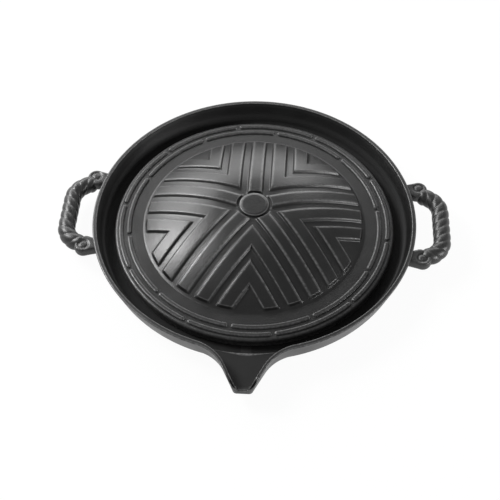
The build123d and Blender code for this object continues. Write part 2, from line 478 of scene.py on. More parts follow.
@dataclass
class Dome:
    """The ribbed dome with its boss: spokes, nested chevrons and the hollow underneath.

    A pair such as rib_side is a ramp's half run and softness. Rows and columns say where points
    lie beside the edge or the radius that they are named for.
    """

    base_height: float = 13.5
    crown_radius: float = 206.5
    crown_height: float = 27.7
    flat_height: float = 25.3
    flat_softness: float = 1.5
    foot_drop: float = 0.12
    foot_softness: float = 0.45
    foot_radius: float = 106.0
    rib_height: float = 2.3
    rib_width: float = 13.3
    groove_width: float = 7.3
    chevron_count: int = 2
    spoke_count: int = 5
    spoke_turn: float = 89.8
    rib_side: Pair = (0.72, 0.45)
    rib_side_rows: Numbers = (-1.0, -0.85, -0.7, -0.5, 0.0, 0.5, 0.7, 0.85, 1.0)
    rib_end_radius: float = 100.5
    rib_end: Pair = (0.6, 0.35)
    rib_end_columns: Numbers = (
        -2.5, -1.5, -1.1, -0.9, -0.75, -0.6, -0.4, -0.2, 0.0, 0.2, 0.4,
        0.6, 0.75, 0.9, 1.2, 1.6, 2.1, 2.6, 3.1, 3.7, 4.4,
    )
    rib_start_radius: float = 16.0
    rib_start: Pair = (0.4, 0.25)
    rib_start_columns: Numbers = (-0.7, -0.5, -0.3, -0.15, 0.0, 0.15, 0.3, 0.5, 0.9)
    boss_radius: float = 13.6
    boss_side: Pair = (0.2, 0.15)
    boss_side_columns: Numbers = (-0.4, -0.3, -0.15, 0.0, 0.15, 0.3, 1.0)
    boss_height: float = 27.6
    boss_flat_radius: float = 10.8
    boss_flat_columns: Numbers = (-0.6, -0.3, 0.0, 0.3, 1.4)
    boss_middle_columns: Numbers = (0.0, 4.0, 8.0)
    boss_bevel_drop: float = 0.7
    boss_bevel_softness: float = 0.3
    centre_radius: float = 17.5
    row_spacing: float = 1.7
    row_clearance: float = 0.7
    column_count: int = 39
    thickness: float = 4.2
    inner_radius: float = 98.4
    inner_step: float = 1.5
    seat_depth: float = 0.7
    seat_step: float = 0.5
    under_count: int = 24

    def groove_height(self, radius: Array) -> Array:
        """Height of the groove floors above the flange.

        A spherical cap, flattened at its centre, that runs out into the flange in a soft hollow.
        Both are a soft choice between a and b: (a + b -/+ sqrt((a - b)^2 + softness^2)) / 2.

        Args:
            radius: Distance from the axis.

        Returns:
            The height, a little under the flange's top face at the foot's outer end.
        """
        cap = self.crown_height - self.crown_radius + np.sqrt(self.crown_radius**2 - radius**2)
        cap = (cap + self.flat_height - np.hypot(cap - self.flat_height, self.flat_softness)) / 2
        return (cap - self.foot_drop + np.hypot(cap + self.foot_drop, self.foot_softness)) / 2

    def rib_edges(self) -> Array:
        """Distances of the rib sides from a spoke's centre line.

        Returns:
            The side of the spoke, then the near and the far side of each chevron rib.
        """
        starts = [self.rib_width / 2 + self.groove_width]
        for _ in range(self.chevron_count - 1):
            starts.append(starts[-1] + self.rib_width + self.groove_width)
        pairs = [start + width for start in starts for width in (0.0, self.rib_width)]
        return np.array([self.rib_width / 2, *pairs])

    def surface_height(self, radius: Array, offset: Array) -> Array:
        """Height of the upper surface.

        Ribs stand one rib height above the grooves. A rib share rises from 0 to 1 across each rib
        side, falls to 0 at the foot of the dome and starts outside the boss.

        Args:
            radius: Distance from the axis.
            offset: Distance from the nearest spoke's centre line.

        Returns:
            Height above the surface that the pan stands on.
        """
        share = np.ones_like(radius)
        for number, edge in enumerate(self.rib_edges()):
            step = rounded_ramp(offset - edge, *self.rib_side)
            share = share - step if number % 2 == 0 else share + step
        share = share * (1 - rounded_ramp(radius - self.rib_end_radius, *self.rib_end))
        share = share * rounded_ramp(radius - self.rib_start_radius, *self.rib_start)
        height = self.groove_height(radius) + share * self.rib_height
        bevel = self.boss_bevel_drop * rounded_ramp(
            radius - (self.boss_flat_radius + self.boss_radius) / 2,
            (self.boss_radius - self.boss_flat_radius) / 2,
            self.boss_bevel_softness,
        )
        boss = 1 - rounded_ramp(radius - self.boss_radius, *self.boss_side)
        return self.base_height + height + boss * (self.boss_height - bevel - height)

    def row_offsets(self) -> Array:
        """Distances from the spoke's centre line at which the rows of points run.

        Rows lie close together along each rib side. Between them are even rows, which keep a
        clearance from the others.

        Returns:
            The distances, sorted.
        """
        half_sector = np.pi / self.spoke_count
        rows = [edge + np.array(self.rib_side_rows) for edge in self.rib_edges()]
        last = self.foot_radius * np.sin(half_sector)
        rows.append(np.array([0.0, self.centre_radius * np.sin(half_sector), last]))
        spare = np.arange(0.0, last, self.row_spacing)
        taken = np.concatenate(rows)
        gap = np.min(np.abs(spare[:, None] - taken[None, :]), axis=1)
        return np.unique(np.round(np.append(taken, spare[gap > self.row_clearance]), DIGITS))

    def centre_rings(self) -> Array:
        """Radii of the rings of points over the boss and out past the starts of the ribs."""
        return np.concatenate((
            self.boss_middle_columns,
            self.boss_flat_radius + np.array(self.boss_flat_columns),
            self.boss_radius + np.array(self.boss_side_columns),
            self.rib_start_radius + np.array(self.rib_start_columns),
            [self.centre_radius],
        ))

    def half_sectors(self) -> Array:
        """The mirrored halves of the pattern, two for each spoke.

        Returns:
            One row for each half: its spoke's angle in radians, and 1 or -1 for its side.
        """
        numbers = np.arange(self.spoke_count)
        turns = np.radians(self.spoke_turn) + numbers * 2 * np.pi / self.spoke_count
        return np.array([(turn, side) for turn in turns for side in (1.0, -1.0)])

    def build(self) -> Piece:
        """Makes the dome.

        Each half sector has rows at a constant distance from the spoke's centre line, from the
        line halfway between two spokes out to the foot. A disc of rings closes the centre, and a
        surface one wall thickness lower closes the underside.

        Returns:
            The dome's object.
        """
        half_sector = np.pi / self.spoke_count
        offsets = self.row_offsets()
        start = np.maximum(self.centre_radius, offsets / np.sin(half_sector))[:, None]
        ends = np.append(self.rib_end_radius + np.array(self.rib_end_columns), self.foot_radius)
        inner = start + (ends[0] - start) * np.linspace(0, 1, self.column_count + 1)[None, :-1]
        outer = np.broadcast_to(ends, (len(offsets), len(ends)))
        radius = np.hstack((inner, outer))
        radius = np.minimum(np.maximum(radius, start), self.foot_radius)
        offset = np.broadcast_to(offsets[:, None], radius.shape)
        angle = np.arcsin(np.clip(offset / radius, -1, 1))
        height = self.surface_height(radius, offset)
        rings = self.centre_rings()[None, :]
        core = offsets[offsets <= np.round(self.centre_radius * np.sin(half_sector), DIGITS)]
        core_angle = np.arcsin(core / self.centre_radius)[:, None]
        core_height = self.surface_height(*np.broadcast_arrays(rings, rings * np.sin(core_angle)))
        rim_angle = angle[:, -1:]
        inside = np.linspace(self.inner_radius - self.inner_step, 0, self.under_count)
        seat = (self.foot_radius, self.foot_radius - self.seat_step, self.inner_radius)
        under_radius = np.concatenate((seat, inside))[None, :]
        edge = self.groove_height(np.array([self.foot_radius]))
        under = self.groove_height(inside) - self.thickness
        seat = (*edge, -self.seat_depth, under[0])
        under_height = self.base_height + np.concatenate((seat, under))[None, :]
        grids = []
        for turn, side in self.half_sectors():
            grids.append(polar(radius, turn + side * angle, height))
            grids.append(polar(rings, turn + side * core_angle, core_height))
            grids.append(polar(under_radius, turn + side * rim_angle, under_height))
        return surface_object("dome", grids, Smoothing.CRISP)


@dataclass
class Flange:
    """The flat ring round the dome, its skirt and its two rings of raised arcs.

    Each ring is given by its radius and the angle of one of its gaps, in degrees. Columns are
    distances from an arc's centre line, or radii, and rows are distances from the middle of a
    gap. Other rows lie row_angle degrees apart and none are under least_row_angle radians apart.
    """

    top: float = 13.5
    underside: float = 9.5
    inner_radius: float = 98.2
    outer_radius: float = 130.4
    edge_round: float = 2.6
    skirt_inner_radius: float = 127.0
    skirt_bottom: float = 4.8
    arc_count: int = 10
    arc_width: float = 4.6
    arc_height: float = 1.6
    arc_round: float = 1.6
    arc_foot: float = 0.15
    arc_gap: float = 2.6
    rings: tuple[Pair, ...] = ((116.7, 10.3), (124.4, 28.5))
    arc_columns: Numbers = (0.0, 0.6, 1.1, 1.5, 1.8, 2.0, 2.15, 2.25, 2.3, 2.45)
    gap_rows: Numbers = (
        0.0, 0.6, 1.1, 1.22, 1.3, 1.4, 1.55, 1.75, 2.0, 2.35, 2.8, 3.3, 3.9, 5.0,
    )
    flat_columns: Numbers = (103.0, 108.0, 112.5)
    row_angle: float = 1.25
    least_row_angle: float = 0.0004
    edge_count: int = 8
    outer_chamfer: float = 0.6
    chamfer: float = 0.5

    def gap_angles(self, turn: float) -> Array:
        """Angles of the middles of the gaps in one ring, in radians."""
        return np.radians(turn + np.arange(self.arc_count) * 360.0 / self.arc_count)

    def arc_rise(self, radius: Array, angle: Array) -> Array:
        """Height of the raised arcs above the flange.

        The rise is a function of the distance to an arc's centre line: flat on top, a quarter
        round, and a short steep foot. Beyond an arc's end the distance is to its end point.

        Args:
            radius: Distance from the axis.
            angle: Angle round the axis, in radians.

        Returns:
            The rise in millimetres.
        """
        rise = np.zeros(np.broadcast(radius, angle).shape)
        step = 2 * np.pi / self.arc_count
        half_width = self.arc_width / 2
        for centre, turn in self.rings:
            along = np.abs((angle - np.radians(turn) + step / 2) % step - step / 2)
            past = np.clip((self.arc_gap + self.arc_width) / 2 / centre - along, 0, None) * centre
            distance = np.hypot(radius - centre, past)
            dip = np.clip((distance - half_width + self.arc_round) / self.arc_round, 0, 1)
            foot = np.clip((half_width + self.arc_foot - distance) / self.arc_foot, 0, 1)
            bead = self.arc_height - self.arc_round * (1 - np.sqrt(1 - dip**2))
            rise = np.maximum(rise, np.where(distance > half_width, foot, 1.0) * bead)
        return rise

    def build(self) -> Piece:
        """Makes the ring by carrying its closed profile round the axis.

        The arcs rise on its top face. The profile runs out over that face, round the edge, down
        the skirt and back along the underside.

        Returns:
            The flange's object.
        """
        across = np.unique(np.concatenate([sign * np.array(self.arc_columns) for sign in (-1, 1)]))
        levels = [self.inner_radius, *self.flat_columns]
        for centre, _ in self.rings:
            levels.extend(centre + across)
        levels.append(self.outer_radius - self.edge_round)
        bend = quarter_turn(self.edge_count)[0]
        edge_radius = self.outer_radius - self.edge_round * (1 - np.sin(bend))
        edge_height = self.top - self.edge_round * (1 - np.cos(bend))
        rest_radius, rest_height = np.array([
            (self.outer_radius, self.skirt_bottom + self.outer_chamfer),
            (self.outer_radius - self.outer_chamfer, self.skirt_bottom),
            (self.skirt_inner_radius + self.chamfer, self.skirt_bottom),
            (self.skirt_inner_radius, self.skirt_bottom + self.chamfer),
            (self.skirt_inner_radius, self.underside),
            (self.inner_radius + self.chamfer, self.underside),
            (self.inner_radius, self.underside + self.chamfer),
            (self.inner_radius, self.top),
        ]).T
        beside = np.concatenate([sign * np.array(self.gap_rows) for sign in (-1, 1)])
        angles = [np.radians(np.arange(0, 360, self.row_angle))]
        for centre, turn in self.rings:
            gaps = self.gap_angles(turn)[:, None] + beside[None, :] / centre
            angles.append(gaps.ravel() % (2 * np.pi))
        merged = np.unique(np.round(np.concatenate(angles), ANGLE_DIGITS))
        apart = np.diff(merged) > self.least_row_angle
        merged = merged[np.concatenate(([True], apart))]
        around = np.append(merged, merged[0] + 2 * np.pi)[:, None]
        rise = self.arc_rise(np.array(levels)[None, :], around)
        fixed = np.concatenate((edge_height, rest_height))
        radius = np.concatenate((levels, edge_radius, rest_radius))[None, :]
        fixed = np.broadcast_to(fixed, (len(around), len(fixed)))
        height = np.hstack((self.top + rise, fixed))
        return surface_object("flange", [polar(radius, around, height)], Smoothing.CRISP)


@dataclass
class DripPan:
    """The pan: flared wall, rim, moat, pour spout and the collar that the grill plate sits on.

    Drafts and spout_half_angle are degrees, and turn_steps has first, last and step in degrees
    from the spout. Its floor line, which runs under spout and channel, is level behind spout_start
    outside and channel_end inside. Counts are numbers of points along stretches of the profile.
    """

    rim_radius: float = 149.9
    rim_height: float = 25.8
    rim_width: float = 4.2
    rim_round: float = 1.1
    rim_inner_round: float = 0.7
    outer_draft: float = 16.3
    inner_draft: float = 18.0
    floor: float = 4.0
    moat_fillet: float = 4.0
    base_round: float = 5.5
    collar_radius: float = 126.0
    collar_inner_radius: float = 122.0
    collar_top: float = 9.5
    collar_round: float = 0.8
    spout_reach: float = 182.0
    spout_tip_half_width: float = 9.8
    spout_half_angle: float = 26.0
    spout_draft: float = 10.5
    spout_front_draft: float = 3.0
    spout_wall: float = 3.2
    spout_front_wall: float = 1.8
    spout_floor_root: float = 9.5
    spout_floor_tip: float = 16.3
    spout_floor_thickness: float = 4.0
    channel_fillet: float = 3.6
    shoulder_radius: float = 38.0
    tip_radius: float = 3.5
    lip_height: float = 17.5
    lip_front_height: float = 16.9
    lip_run: float = 10.0
    mouth_half_width: float = 5.0
    mouth_softness: float = 0.7
    inner_tip_radius: float = 1.6
    spout_start: float = 140.0
    channel_end: float = 135.0
    spout_root_height: float = 5.0
    sill_root_height: float = 8.0
    channel_fillet_shares: Pair = (0.45, 0.8)
    inner_wall_power: int = 4
    moat_middle: float = 131.0
    collar_foot: float = 0.4
    bevel_share: float = 0.3
    chamfer: float = 0.5
    moat_mark_start: float = 9.0
    moat_mark_run: float = 7.0
    mark_margin: Pair = (0.3, 0.1)
    mark_start: float = 137.5
    mark_run: float = 3.0
    mark_depth: float = 1.2
    least_ray: float = 0.1
    rounds: int = 4
    turn_steps: tuple[Triple, ...] = (
        (0.0, 3.6, 0.12), (3.6, 17.0, 0.24), (17.0, 180.0, 1.1),
    )
    corner_count: int = 8
    wall_count: int = 3
    spout_under_count: int = 9
    outside_count: int = 12
    rim_bend_count: int = 5
    rim_count: int = 6
    inner_wall_count: int = 11
    fillet_count: int = 6
    channel_count: int = 13

    def outer_radius_at(self, height: Array) -> Array:
        """Radius of the wall's outer cone."""
        return self.rim_radius - (self.rim_height - height) * np.tan(np.radians(self.outer_draft))

    def inner_radius_at(self, height: Array) -> Array:
        """Radius of the wall's inner cone."""
        drop = (self.rim_height - height) * np.tan(np.radians(self.inner_draft))
        return self.rim_radius - self.rim_width - drop

    def floor_at(self, forward: Array) -> Array:
        """Height of the spout's floor line, which rises evenly from the wall to the lip.

        Args:
            forward: Distance in front of the axis.

        Returns:
            The height.
        """
        root = self.outer_radius_at(self.spout_floor_root)
        rise = (self.spout_floor_tip - self.spout_floor_root) / (self.spout_reach - root)
        return self.spout_floor_root + (forward - root) * rise

    def outline(
        self, turn: Array, height: Array, circle: Array, inset: float, front: float,
        shoulder: float, corner: float,
    ) -> Array:
        """Distance from the axis to a wall face, as seen along a ray.

        The outline is a circle, a fillet, the spout's straight side, a rounded corner and the
        spout's front. The side is the line x cos a + y sin a = d; the fillet's centre is one
        fillet radius outside both the circle and the line, the corner's is one corner radius
        inside both the line and the front.

        Args:
            turn: Angle of the ray from the spout's direction, in radians.
            height: Height of the section.
            circle: Radius of the wall's face at that height.
            inset: Distance that the face lies inside the spout's outer face.
            front: Distance that it lies inside the spout's front.
            shoulder: Radius of the fillet between the wall and the spout.
            corner: Radius of the spout's corner.

        Returns:
            The distance along each ray.
        """
        turn, height, circle = np.broadcast_arrays(np.abs(turn), height, circle)
        slope = np.radians(self.spout_half_angle)
        drop = self.rim_height - height
        reach = self.spout_reach - front - drop * np.tan(np.radians(self.spout_front_draft))
        side = (self.spout_tip_half_width + self.spout_reach * np.tan(slope)) * np.cos(slope)
        side = side - inset - drop * np.tan(np.radians(self.spout_draft))
        far = circle + shoulder
        fillet_turn = np.arcsin((side + shoulder) / far) - slope
        touch_x = far * np.sin(fillet_turn) - shoulder * np.cos(slope)
        touch_y = far * np.cos(fillet_turn) - shoulder * np.sin(slope)
        away = far * np.sin(turn - fillet_turn)
        half = np.sqrt(np.clip(shoulder**2 - away**2, 0, None))
        fillet = far * np.cos(turn - fillet_turn) - half
        straight = side / np.sin(np.clip(turn + slope, self.least_ray, np.pi - self.least_ray))
        corner_y = reach - corner
        corner_x = (side - corner - corner_y * np.sin(slope)) / np.cos(slope)
        corner_far, corner_turn = np.hypot(corner_x, corner_y), np.arctan2(corner_x, corner_y)
        away = corner_far * np.sin(turn - corner_turn)
        half = np.sqrt(np.clip(corner**2 - away**2, 0, None))
        rounded = corner_far * np.cos(turn - corner_turn) + half
        result = np.where(turn > fillet_turn, circle, fillet)
        result = np.where(turn < np.arctan2(touch_x, touch_y), straight, result)
        end_x, end_y = corner_x + corner * np.cos(slope), corner_y + corner * np.sin(slope)
        result = np.where(turn < np.arctan2(end_x, end_y), rounded, result)
        front_end = np.arctan2(corner_x, reach)
        return np.where(turn < front_end, reach / np.cos(np.minimum(turn, front_end)), result)

    def outer_face(self, turn: Array, height: Array) -> Array:
        """Distance from the axis to the outer face."""
        circle = self.outer_radius_at(height)
        return self.outline(turn, height, circle, 0, 0, self.shoulder_radius, self.tip_radius)

    def inner_face(self, turn: Array, height: Array) -> Array:
        """Distance from the axis to the inner face."""
        circle, shoulder = self.inner_radius_at(height), self.shoulder_radius + self.rim_width
        return self.outline(
            turn, height, circle, self.spout_wall, self.spout_front_wall, shoulder, self.inner_tip_radius
        )

    def top_at(self, turn: Array, radius: Array) -> Array:
        """Height of the rim, which curves down to the lip along the last run of the spout.

        The curve is a quarter ellipse over the distance in front of the axis, and the mouth
        between the side walls lies at the lip.

        Args:
            turn: Angle of the ray from the spout's direction, in radians.
            radius: Distance from the axis.

        Returns:
            The rim's height.
        """
        forward, aside = radius * np.cos(turn), np.abs(radius * np.sin(turn))
        share = np.clip((forward - self.spout_reach + self.lip_run) / self.lip_run, 0, 1)
        top = self.lip_height + (self.rim_height - self.lip_height) * np.sqrt(1 - share**2)
        soft = self.mouth_softness
        in_mouth = s_curve((self.mouth_half_width + soft - aside) / (2 * soft)) * (forward > 0)
        return top + (self.lip_front_height - top) * in_mouth

    def turns(self) -> Array:
        """Angles from the spout's direction in a column that ends where it starts, in radians."""
        half = np.concatenate([np.arange(*steps) for steps in self.turn_steps])
        return np.radians(np.concatenate((-half[:0:-1], half, [-180.0, -half[-1]])))[:, None]

    def base_radius(self) -> float:
        """Radius at which the flat underside meets its rounded edge."""
        lean = np.radians(self.outer_draft)
        return self.outer_radius_at(0.0) - self.base_round * np.tan((np.pi / 2 - lean) / 2)

    def floor_below(self, turn: Array, reach: Array, nearest: float) -> Array:
        """Height of the floor line below a face, or at nearest where the face is nearer."""
        return self.floor_at(np.maximum(reach * np.cos(turn), nearest))

    def meet_floor(
        self, face: Callable[..., Array], turn: Array, nearest: float, depth: float
    ) -> Array:
        """Height at which a face meets the floor line, found by going to and fro a few times.

        Args:
            face: Gives the distance to the face for an angle and a height.
            turn: Angles from the spout, in radians.
            nearest: Distance in front of the axis where the floor line starts.
            depth: Distance under the floor line.

        Returns:
            The height for each angle.
        """
        height = self.floor_at(self.spout_start) - depth
        for _ in range(self.rounds):
            height = self.floor_below(turn, face(turn, height), nearest) - depth
        return height

    def outside(self, turn: Array, top: Array) -> Iterator[Stretch]:
        """Profile from the underside's rounded edge up to the rim.

        The wall ends at the spout's underside, which runs out to the outer face. Away from the
        spout that stretch has no length.

        Args:
            turn: Angles from the spout, in radians.
            top: Height of the rim for each angle.

        Yields:
            Radii and heights of each stretch.
        """
        lean = np.radians(self.outer_draft)
        bend = np.linspace(-np.pi / 2, -lean, self.corner_count)[None, :]
        edge = self.base_round * (1 + np.sin(bend))
        yield self.base_radius() + self.base_round * np.cos(bend), edge
        depth = self.spout_floor_thickness
        under = self.meet_floor(self.outer_face, turn, self.spout_start, depth)
        root = self.outer_radius_at(self.spout_root_height)
        root = self.floor_below(turn, root, self.spout_start) - depth
        rise = edge[:, -1:] + (root - edge[:, -1:]) * shares(self.wall_count)
        yield self.outer_radius_at(rise), rise
        near, share = self.outer_radius_at(root), shares(self.spout_under_count)
        span = near + (self.outer_face(turn, under) - near) * share
        yield span, root + (under - root) * share
        rise = under + (top - self.rim_round - under) * shares(self.outside_count)
        yield self.outer_face(turn, rise), rise

    def rim(self, turn: Array, top: Array, inner_top: Array) -> Iterator[Stretch]:
        """Profile over the rim, with a rounding on each side of its flat top.

        Args:
            turn: Angles from the spout, in radians.
            top: Height of the rim at its outer face for each angle.
            inner_top: Height at its inner face.

        Yields:
            Radii and heights of each stretch.
        """
        outer, inner = self.outer_face(turn, top), self.inner_face(turn, inner_top)
        width, bend = outer - inner, quarter_turn(self.rim_bend_count)
        start = self.outer_face(turn, top - self.rim_round)
        inset = self.rim_round / self.rim_width * width
        fall = self.rim_round * (1 - np.sin(bend))
        yield start - inset * (1 - np.cos(bend)), self.top_at(turn, outer) - fall
        first, last = start - inset, inner + self.rim_inner_round / self.rim_width * width
        share = shares(self.rim_count)
        yield first + (last - first) * share, top + (inner_top - top) * share
        fall = self.rim_inner_round * (1 - np.cos(bend))
        yield last - (last - inner) * np.sin(bend), inner_top - fall

    def inside(self, turn: Array, high: Array) -> Iterator[Stretch]:
        """Profile down the inner wall, along the channel, down the moat's wall and onto its floor.

        A fillet joins the wall and the channel's floor. Away from the spout both of them have no
        length.

        Args:
            turn: Angles from the spout, in radians.
            high: Height at which the wall starts, for each angle.

        Yields:
            Radii and heights of each stretch.
        """
        foot = self.meet_floor(self.inner_face, turn, self.channel_end, 0.0)
        root = self.inner_radius_at(self.sill_root_height)
        sill = self.floor_below(turn, root, self.channel_end)
        last = self.inner_radius_at(sill)
        most = (self.inner_face(turn, foot) - last, high - foot)
        fillet = np.minimum(self.channel_fillet, self.channel_fillet_shares[0] * most[0])
        fillet = np.minimum(fillet, self.channel_fillet_shares[1] * most[1])
        start = self.inner_face(turn, foot + fillet)
        foot = self.floor_below(turn, start - fillet, self.channel_end)
        share = shares(self.inner_wall_count)
        drop = high + (foot + fillet - high) * share
        span = (self.inner_face(turn, drop) - start) * (1 - share**self.inner_wall_power)
        yield start + span, drop
        bend = quarter_turn(self.fillet_count)
        yield start - fillet * (1 - np.cos(bend)), foot + fillet * (1 - np.sin(bend))
        first, share = start - fillet, shares(self.channel_count)
        yield first + (last - first) * share, foot + (sill - foot) * share
        lean = np.radians(self.inner_draft)
        low = self.floor + self.moat_fillet * (1 - np.sin(lean))
        drop = sill + (low - sill) * shares(self.wall_count)
        yield self.inner_radius_at(drop), drop
        tangent = self.moat_fillet * np.tan((np.pi / 2 - lean) / 2)
        bend = -lean - (np.pi / 2 - lean) * shares(self.corner_count)
        span = self.inner_radius_at(self.floor) - tangent + self.moat_fillet * np.cos(bend)
        yield span, self.floor + self.moat_fillet * (1 + np.sin(bend))

    def middle(self) -> Stretch:
        """Profile along the moat's floor, over the collar and back along the underside.

        Returns:
            Its radii and its heights, as rows.
        """
        outer, inner, top = self.collar_radius, self.collar_inner_radius, self.collar_top
        cut, part = self.collar_round, self.collar_round * self.bevel_share
        radius, height = np.array([
            (self.moat_middle, self.floor), (outer + self.collar_foot, self.floor),
            (outer, self.floor + self.collar_foot), (outer, top - cut), (outer - part, top - part),
            (outer - cut, top), (inner + self.chamfer, top), (inner, top - self.chamfer),
            (inner, self.chamfer), (inner + self.chamfer, 0.0), (self.base_radius(), 0.0),
        ]).T
        return radius[None, :], height[None, :]

    def build(self) -> Piece:
        """Makes the pan by carrying a profile round the axis whose shape changes with the angle.

        Returns:
            The pan's object.
        """
        turn = self.turns()
        top = self.top_at(turn, self.outer_face(turn, self.rim_height))
        inner_top = self.top_at(turn, self.inner_face(turn, self.rim_height))
        radii, heights = [], []
        for radius, height in (
            *self.outside(turn, top),
            *self.rim(turn, top, inner_top),
            *self.inside(turn, inner_top - self.rim_inner_round),
            self.middle(),
        ):
            shape = (len(turn), np.broadcast(radius, height).shape[1])
            radii.append(np.broadcast_to(radius, shape))
            heights.append(np.broadcast_to(height, shape))
        radius, height = np.concatenate(radii, axis=1), np.concatenate(heights, axis=1)
        pan = surface_object("pan", [polar(radius, turn - np.pi / 2, height)], Smoothing.CRISP)
        self.mark_hollow(pan.data)
        return pan

    def mark_hollow(self, mesh: bpy.types.Mesh) -> None:
        """Stores how deep each point lies inside the moat and the spout's channel.

        The moat's share rises with the depth under the rim, and the channel's with that depth and
        the distance in front of the axis.

        Args:
            mesh: The pan's mesh, in metres.
        """
        x, y, height = (mesh_rows(mesh.vertices, "co") / MM).T
        turn, radius = np.arctan2(x, -y), np.hypot(x, y)
        aside, below = self.mark_margin
        inside = self.inner_face(turn, height) + aside > radius
        depth = self.top_at(turn, radius) - height
        moat = s_curve((depth - self.moat_mark_start) / self.moat_mark_run)
        channel = s_curve((radius * np.cos(turn) - self.mark_start) / self.mark_run)
        share = np.maximum(moat, channel * s_curve(depth / self.mark_depth))
        store_values(mesh, HOLLOW_LAYER, share * inside * (height > self.floor - below))


class Side(Enum):
    """Which side of the pan a handle is on, as the sign of its X."""

    RIGHT = 1.0
    LEFT = -1.0


@dataclass
class Handle:
    """A rope-twist grip between two flat arms, with a scroll beside each arm.

    A groove in a scroll is given by its radius, half width and depth. Counts are numbers of
    points along the parts of the grip and of the arm's profile.
    """

    side: Side
    grip_reach: float = 173.5
    grip_radius: float = 8.0
    grip_height: float = 17.5
    corner_radius: float = 20.0
    corner_offset: float = 32.4
    rope_start: Pair = (152.0, 37.2)
    taper_length: float = 7.0
    taper_radius: float = 3.8
    strand_count: int = 3
    strand_pitch: float = 9.0
    crease: float = 0.7
    crease_power: float = 2.6
    arm_radius: float = 6.6
    arm_root: tuple[Pair, ...] = ((136.0, 36.0), (136.0, 43.5))
    arm_top: float = 24.3
    arm_bottom: float = 13.5
    top_round: float = 3.0
    bottom_round: float = 4.6
    scroll: Pair = (154.0, 41.4)
    scroll_radius: float = 8.0
    scroll_band: float = 6.2
    grooves: tuple[Triple, ...] = ((4.1, 1.5, 0.85),)
    groove_drift: float = 0.6
    groove_turn: float = 0.6 * np.pi
    shelf_power: float = 1.5
    wall_depth: float = 2.0
    facing_limit: float = 0.02
    slant_count: int = 11
    bend_count: int = 50
    grip_count: int = 28
    around_count: int = 96
    cap_count: int = 4
    outline_count: int = 120
    support_count: int = 720
    disc_count: int = 30
    shelf_count: int = 11
    round_count: int = 8
    under_count: int = 7
    wall: DripPan = field(default_factory=DripPan)

    def path(self) -> tuple[Array, Array, Array]:
        """The grip's centre line: slanted arm, rounded corner, grip, and the same mirrored.

        Returns:
            Points, unit tangents and the distance of each point from the rope's start.
        """
        start, corner = np.array(self.rope_start), np.array((self.grip_reach, self.corner_offset))
        ahead = (corner - start) / np.linalg.norm(corner - start)
        turn = np.pi / 2 + np.arctan2(ahead[1], ahead[0])
        run = self.corner_radius * np.tan(turn / 2)
        centre = corner - (self.corner_radius, run)
        slant = np.linspace(0, 1, self.slant_count, endpoint=False)[:, None]
        arm = start + (corner - ahead * run - start) * slant
        bend = np.linspace(turn, 0, self.bend_count)
        curve = centre + self.corner_radius * np.stack((np.cos(bend), np.sin(bend)), axis=-1)
        grip = np.array([(self.grip_reach, centre[1] * (1 - s)) for s in shares(self.grip_count)[0]])
        half = np.concatenate((arm, curve, grip))
        points = np.concatenate((half, half[-2::-1] * (1.0, -1.0)))
        tangent = np.gradient(points, axis=0)
        tangent /= np.linalg.norm(tangent, axis=1)[:, None]
        along = np.concatenate(([0.0], np.cumsum(np.linalg.norm(np.diff(points, axis=0), axis=1))))
        return points, tangent, along

    def build_grip(self) -> Piece:
        """Makes the rope as one tube.

        The radius round the rope is the grip radius less crease |2p - 1|^power, where p runs from
        0 to 1 across a strand. The strands turn with the distance along the rope. At both ends
        the rope tapers, so that it grows out of the arm.

        Returns:
            The grip's object.
        """
        points, tangent, along = self.path()
        around = np.linspace(0, 2 * np.pi, self.around_count + 1)[None, :]
        turns = along[:, None] / (self.strand_pitch * self.strand_count)
        across = (self.strand_count * (around / (2 * np.pi) - turns)) % 1.0
        rope = self.grip_radius - self.crease * np.abs(2 * across - 1) ** self.crease_power
        share = np.clip(np.minimum(along, along[-1] - along) / self.taper_length, 0, 1)
        grown = np.sin(np.pi / 2 * share)[:, None]
        rope = self.taper_radius + (rope - self.taper_radius) * grown
        sideways = np.stack((tangent[:, 1], -tangent[:, 0]), axis=-1)
        flat = points[:, None, :] + (rope * np.sin(around))[..., None] * sideways[:, None, :]
        height = self.grip_height + rope * np.cos(around)
        tube = np.concatenate((flat, height[..., None]), axis=-1)
        caps = []
        rings = np.linspace(0, 1, self.cap_count)[:, None, None]
        for end in (0, -1):
            middle = tube[end, :-1].mean(axis=0)
            caps.append(middle + (tube[end][None] - middle) * rings)
        return self.finish("grip", [tube, *caps], Smoothing.ROPE)

    def arm_reach_at(self, around: Array) -> Array:
        """Distance from the scroll's centre to the arm's outline.

        The outline is the hull of the scroll, the arm's round end and two points in the wall.
        The distance along a ray is the least of support(n) / cos(angle to n) over all n.

        Args:
            around: Ray angles, in radians.

        Returns:
            The distance along each ray.
        """
        normal = np.linspace(-np.pi, np.pi, self.support_count + 1)
        ahead = np.stack((np.cos(normal), np.sin(normal)))
        start, *root = np.array([self.rope_start, *self.arm_root]) - self.scroll
        support = np.maximum(self.scroll_radius, start @ ahead + self.arm_radius)
        support = np.maximum(support, (np.array(root) @ ahead).max(axis=0))
        cosine = np.cos(around[:, None] - normal[None, :])
        reach = support / np.maximum(cosine, self.facing_limit)
        return np.where(cosine > self.facing_limit, reach, np.inf).min(axis=1)

